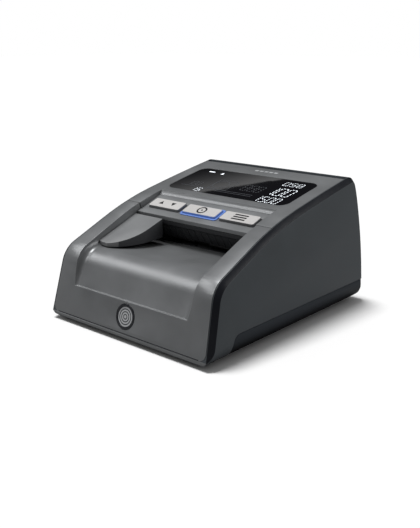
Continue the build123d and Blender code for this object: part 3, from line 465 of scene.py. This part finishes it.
def softened(cad_name, piece_name, width):
    """Copy of a CAD node's shape with its sharp edges rounded, standing for that node."""
    source = frame["nodes"][cad_name]
    mesh = bpy.data.meshes.new(piece_name)
    work = bmesh.new()
    work.from_mesh(source.data)
    bmesh.ops.remove_doubles(work, verts=work.verts, dist=WELD * MM)
    bmesh.ops.dissolve_limit(work, angle_limit=math.radians(FLAT_ANGLE), verts=work.verts, edges=work.edges)
    for face in work.faces:
        face.smooth = True
    work.to_mesh(mesh)
    work.free()
    piece = bpy.data.objects.new(piece_name, mesh)
    SCENE.collection.objects.link(piece)
    bevel = piece.modifiers.new("round", "BEVEL")
    bevel.width = width * MM
    bevel.segments = ROUND_SEGMENTS
    bevel.limit_method = "ANGLE"
    bevel.angle_limit = math.radians(SHARP_ANGLE)
    bevel.use_clamp_overlap = True
    bevel.harden_normals = True
    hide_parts(cad_name)
    return piece


def slots_by_node():
    """Material slot of each CAD node, from the record."""
    return {entry["node"]: entry["material_slot"] for entry in frame["record"]["subparts"]}


def body_of_node():
    """Body of each CAD node, from the record."""
    bodies = frame["record"]["behaviour"]["bodies"]
    return {name: body for body, names in bodies.items() for name in names}


def dress(piece, material, body):
    """Give a new piece its finish and its body."""
    piece.data.materials.clear()
    piece.data.materials.append(material)
    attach(piece, body)


def painted(piece, material, wanted):
    """Give the faces that pass the test a second finish."""
    piece.data.materials.append(material)
    index = len(piece.data.materials) - 1
    for face in piece.data.polygons:
        if wanted(face.normal, face.center):
            face.material_index = index


def is_rim(normal, centre):
    """Faces of the chamfer that runs round the shell's sides; they get a near-black colour that is painted
    shade and painted dark reflection.
    """
    return 0.3 < abs(normal.x) < 0.93 and normal.z > -0.05


def is_sill(normal, centre):
    """Front faces of the shell's narrow lip under the front frame."""
    return normal.y < -0.5 and centre.z < 6.0 * MM and abs(normal.x) < 0.3


def is_guide_flank(normal, centre):
    """The note guide's upright wall beside the note, which gets a darker colour as painted shade."""
    return normal.x > 0.6


def is_key_flank(normal, centre):
    """Sides of a key, below its finger surface; on the left and right keys they get a darker colour as
    painted shade.
    """
    slope = math.radians(KEY_SLOPE)
    return -normal.y * math.sin(slope) + normal.z * math.cos(slope) < 0.6


# ---------------------------------------------------------------- printed and lit marks

def arc_step(y, z, start, radius, end):
    """End of an arc that starts at a point with one slope and ends with another, in degrees."""
    first, last = math.radians(start), math.radians(end)
    return y + radius * (math.sin(first) - math.sin(last)), z + radius * (math.cos(last) - math.cos(first))


def line_step(y, z, angle, length):
    """End of a straight run."""
    return y + length * math.cos(math.radians(angle)), z + length * math.sin(math.radians(angle))


def brow_start():
    """Where the rails end and the brow begins."""
    y, z = line_step(*FACE_FOOT, FRONT_ANGLE, FRONT_LENGTH)
    y, z = arc_step(y, z, FRONT_ANGLE, NOSE_R, RAIL_ANGLE)
    return line_step(y, z, RAIL_ANGLE, RAIL_LENGTH)


BROW = brow_start()
DECK = arc_step(*BROW, RAIL_ANGLE, BROW_R, DECK_START)


def on_window(x, y, lift):
    """Point over the display window's surface."""
    start, first, radius = (BROW, RAIL_ANGLE, BROW_R) if y < DECK[0] else (DECK, DECK_START, DECK_R)
    slope = math.asin(math.sin(math.radians(first)) - (y - start[0]) / radius)
    z = start[1] + radius * (math.cos(slope) - math.cos(math.radians(first)))
    rise = lift - WINDOW_SUNK
    return Vector((x * MM, FRONT_Y + (y - rise * math.sin(slope)) * MM, (z + rise * math.cos(slope)) * MM))


def on_keys(x, y, lift):
    """Point over the keys' finger surface; y runs up the slope from the middle of the keys."""
    slope = math.radians(KEY_SLOPE)
    rise = lift + KEY_PROUD
    return Vector((
        x * MM,
        FRONT_Y + (KEY_Y + y * math.cos(slope) - rise * math.sin(slope)) * MM,
        (KEY_Z + y * math.sin(slope) + rise * math.cos(slope)) * MM,
    ))


def add_marks(name, outlines, place, finish, body):
    """Thin raised plates, one for each outline, laid on a surface."""
    points = []
    faces = []
    for outline in outlines:
        count = len(outline)
        first = len(points)
        for lift in (-PRINT_THICK, PRINT_THICK):
            points.extend(place(x, y, lift) for x, y in outline)
        faces.append([first + k for k in reversed(range(count))])
        faces.append([first + count + k for k in range(count)])
        for k in range(count):
            after = (k + 1) % count
            faces.append([first + k, first + after, first + count + after, first + count + k])
    mesh = bpy.data.meshes.new(name)
    mesh.from_pydata(points, [], faces)
    piece = bpy.data.objects.new(name, mesh)
    SCENE.collection.objects.link(piece)
    dress(piece, finish, body)


SEGMENTS = {
    "0": "abcdef", "1": "bc", "2": "abdeg", "3": "abcdg", "4": "bcfg",
    "5": "acdfg", "6": "acdefg", "7": "abc", "8": "abcdefg", "9": "abcdfg",
}
SEGMENT_ENDS = {
    "a": ((0, 1), (1, 1)), "b": ((1, 1), (1, 0.5)), "c": ((1, 0.5), (1, 0)), "d": ((0, 0), (1, 0)),
    "e": ((0, 0.5), (0, 0)), "f": ((0, 1), (0, 0.5)), "g": ((0, 0.5), (1, 0.5)),
}


def bar(start, end, stroke, trim=0.0):
    """Six-cornered bar between two points, shortened at both ends."""
    a, b = Vector(start), Vector(end)
    along = (b - a).normalized()
    side = Vector((-along.y, along.x)) * stroke / 2
    a += along * trim
    b -= along * trim
    nib = along * stroke / 2
    return [tuple(p) for p in (a, a + nib - side, b - nib - side, b, b - nib + side, a + nib + side)]


def digits(text, x, y, width, height, pitch, stroke):
    """Seven-segment outlines of a row of digits that starts at (x, y)."""
    outlines = []
    for place, character in enumerate(text):
        for segment in SEGMENTS[character]:
            a, b = [
                Vector((x + place * pitch + u * width + DIGIT_SLANT * v * height, y + v * height))
                for u, v in SEGMENT_ENDS[segment]
            ]
            middle = (a + b) / 2
            trim = (b - a).length * DASH_GAP
            outlines += [bar(a, middle, stroke, trim), bar(middle, b, stroke, trim)]
    return outlines


def loop_bars(points, stroke):
    """Bars that join the points into a closed line."""
    return [bar(a, b, stroke) for a, b in zip(points, points[1:] + points[:1])]


def ring_points(x, y, radius, count):
    """Points round a circle."""
    turns = [2 * math.pi * k / count for k in range(count)]
    return [(x + radius * math.cos(t), y + radius * math.sin(t)) for t in turns]


def ring_bars(x, y, radius, stroke, count=28):
    """Circle drawn as short overlapping bars."""
    outlines = []
    inner = ring_points(x, y, radius - stroke / 2, count)
    outer = ring_points(x, y, radius + stroke / 2, count)
    for k in range(count):
        after = (k + 1) % count
        outlines.append([inner[k], outer[k], outer[after], inner[after]][::-1])
    return outlines


def rectangle(x0, x1, y0, y1):
    """Four corners, anticlockwise."""
    return [(x0, y0), (x1, y0), (x1, y1), (x0, y1)]


def add_display(finish):
    """Lit digits, small icons and a faint note diagram on the display window."""
    lit = [outline for row in LIT_DIGITS for outline in digits(*row)]
    lit += [rectangle(-37.7, -33.4, 115.3, 116.3), rectangle(-33.2, -32.7, 115.5, 116.1)]
    lit += [[(-26.6, 113.9), (-24.4, 113.9), (-25.4, 116.4)]]
    add_marks("display_digits", lit, on_window, finish["display_light"], "cover")
    faint = digits(*FAINT_LEFT_DIGITS)
    faint += ring_bars(-13.0, 98.5, 5.5, 0.35)
    faint += loop_bars(rectangle(-18.5, -4.0, 91.2, 105.6), 0.3)
    faint += [bar((-40, 90.6), (18, 90.6), 0.3), bar((-10, 88.6), (18, 88.6), 0.3)]
    faint += digits(*FAINT_RIGHT_DIGITS)
    add_marks("display_diagram", faint, on_window, finish["display_faint"], "cover")


def add_key_symbols(finish):
    """Two arrows, a ring with a dot, and three bars printed on the keys."""
    left = [[(-35.0, -1.3), (-31.4, -1.3), (-33.2, 1.9)], [(-25.6, 1.7), (-23.8, -1.5), (-22.0, 1.7)]]
    centre = ring_bars(0.0, 0.0, KEY_RING_R, KEY_RING_STROKE) + [ring_points(0.0, 0.0, KEY_DOT_R, 12)]
    right = [rectangle(*KEY_BARS_X, y - KEY_BAR_HALF, y + KEY_BAR_HALF) for y in KEY_BARS_Y]
    for body, outlines in (("key_left", left), ("key_centre", centre), ("key_right", right)):
        add_marks(body + "_symbol", outlines, on_keys, finish["key_print"], body)


def on_badge(x, y, lift):
    """Point over the badge disc; y runs up the sloping front from the disc's middle."""
    low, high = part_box("badge_disc")
    lean = math.radians(FRONT_ANGLE)
    half = BADGE_DISC_R * MM
    middle = Vector((0.0, low.y + half * math.cos(lean), high.z - half * math.sin(lean)))
    out = Vector((0.0, -math.sin(lean), math.cos(lean)))
    up = Vector((0.0, math.cos(lean), math.sin(lean)))
    return middle + Vector((x * MM, 0.0, 0.0)) + up * y * MM + out * lift * MM


def on_deck(x, y, lift):
    """Point over the cover's deck, level with the face."""
    return on_window(x, y, lift + WINDOW_SUNK)


def on_seam(x, y, lift):
    """Point over the rounded lower edge of the front frame; y is the height above the desk."""
    lean = math.radians(FRONT_ANGLE)
    back = FACE_FOOT[0] + (y - FACE_FOOT[1]) / math.tan(lean)
    out = Vector((0.0, -math.sin(lean), math.cos(lean)))
    return Vector((x * MM, FRONT_Y + back * MM, y * MM)) + out * (lift - SEAM_SUNK) * MM


def add_badge_rings(finish):
    """Three dark circles let into the badge disc."""
    rings = [outline for radius in BADGE_RINGS for outline in ring_bars(0.0, 0.0, radius, BADGE_STROKE, 40)]
    add_marks("badge_rings", rings, on_badge, finish["badge_dark"], "casing")


def add_trim(finish):
    """Pale maker's bars behind the window, and a dark strip in the groove under the front frame that is
    painted shade.
    """
    bars = [rectangle(x, x + MAKER_BAR_WIDTH, *MAKER_BARS_Y) for x in MAKER_BARS_X]
    add_marks("maker_bars", bars, on_deck, finish["badge_pale"], "cover")
    # painted shade: the badge's dark finish laid as a strip where the seam's groove is in shade
    foot = FACE_FOOT[1] + SEAM_RISE
    seam = [rectangle(-SEAM_HALF, SEAM_HALF, foot, foot + SEAM_HEIGHT)]
    add_marks("front_seam_shade", seam, on_seam, finish["badge_dark"], "casing")


add_camera()
add_stage()
FINISH = make_materials()
SLOT = slots_by_node()
BODY = body_of_node()

for cad_name, cad_object in frame["nodes"].items():
    cad_object.data.materials.clear()
    cad_object.data.materials.append(FINISH[SLOT[cad_name]])

ROUNDED = {
    "body_shell": 0.4, "front_frame": 0.45, "top_cover": 0.4, "base_tray": 0.5, "note_guide": 0.45,
    "throat_panel": 0.15, "badge_ring": 0.15, "key_left": 0.3, "key_centre": 0.3, "key_right": 0.3,
    "key_light_guide": 0.12,
}
SKINS = {}
for cad_name, width in ROUNDED.items():
    SKINS[cad_name] = softened(cad_name, cad_name + "_skin", width)
    dress(SKINS[cad_name], FINISH[SLOT[cad_name]], BODY[cad_name])
# the side chamfer is painted near-black: painted shade and dark reflection
painted(SKINS["body_shell"], FINISH["shell_rim_painted_shade"], is_rim)
painted(SKINS["body_shell"], FINISH["frame_plastic"], is_sill)
# the guide's side wall is painted darker: painted shade
painted(SKINS["note_guide"], FINISH["guide_flank_painted_shade"], is_guide_flank)
# left and right key sides: darker painted shade; centre key sides take the light guide's finish
KEY_FLANKS = {"key_left": "key_flank_painted_shade", "key_centre": "light_guide", "key_right": "key_flank_painted_shade"}
for cad_name, flank in KEY_FLANKS.items():
    painted(SKINS[cad_name], FINISH[flank], is_key_flank)

add_display(FINISH)
add_key_symbols(FINISH)
add_badge_rings(FINISH)
add_trim(FINISH)
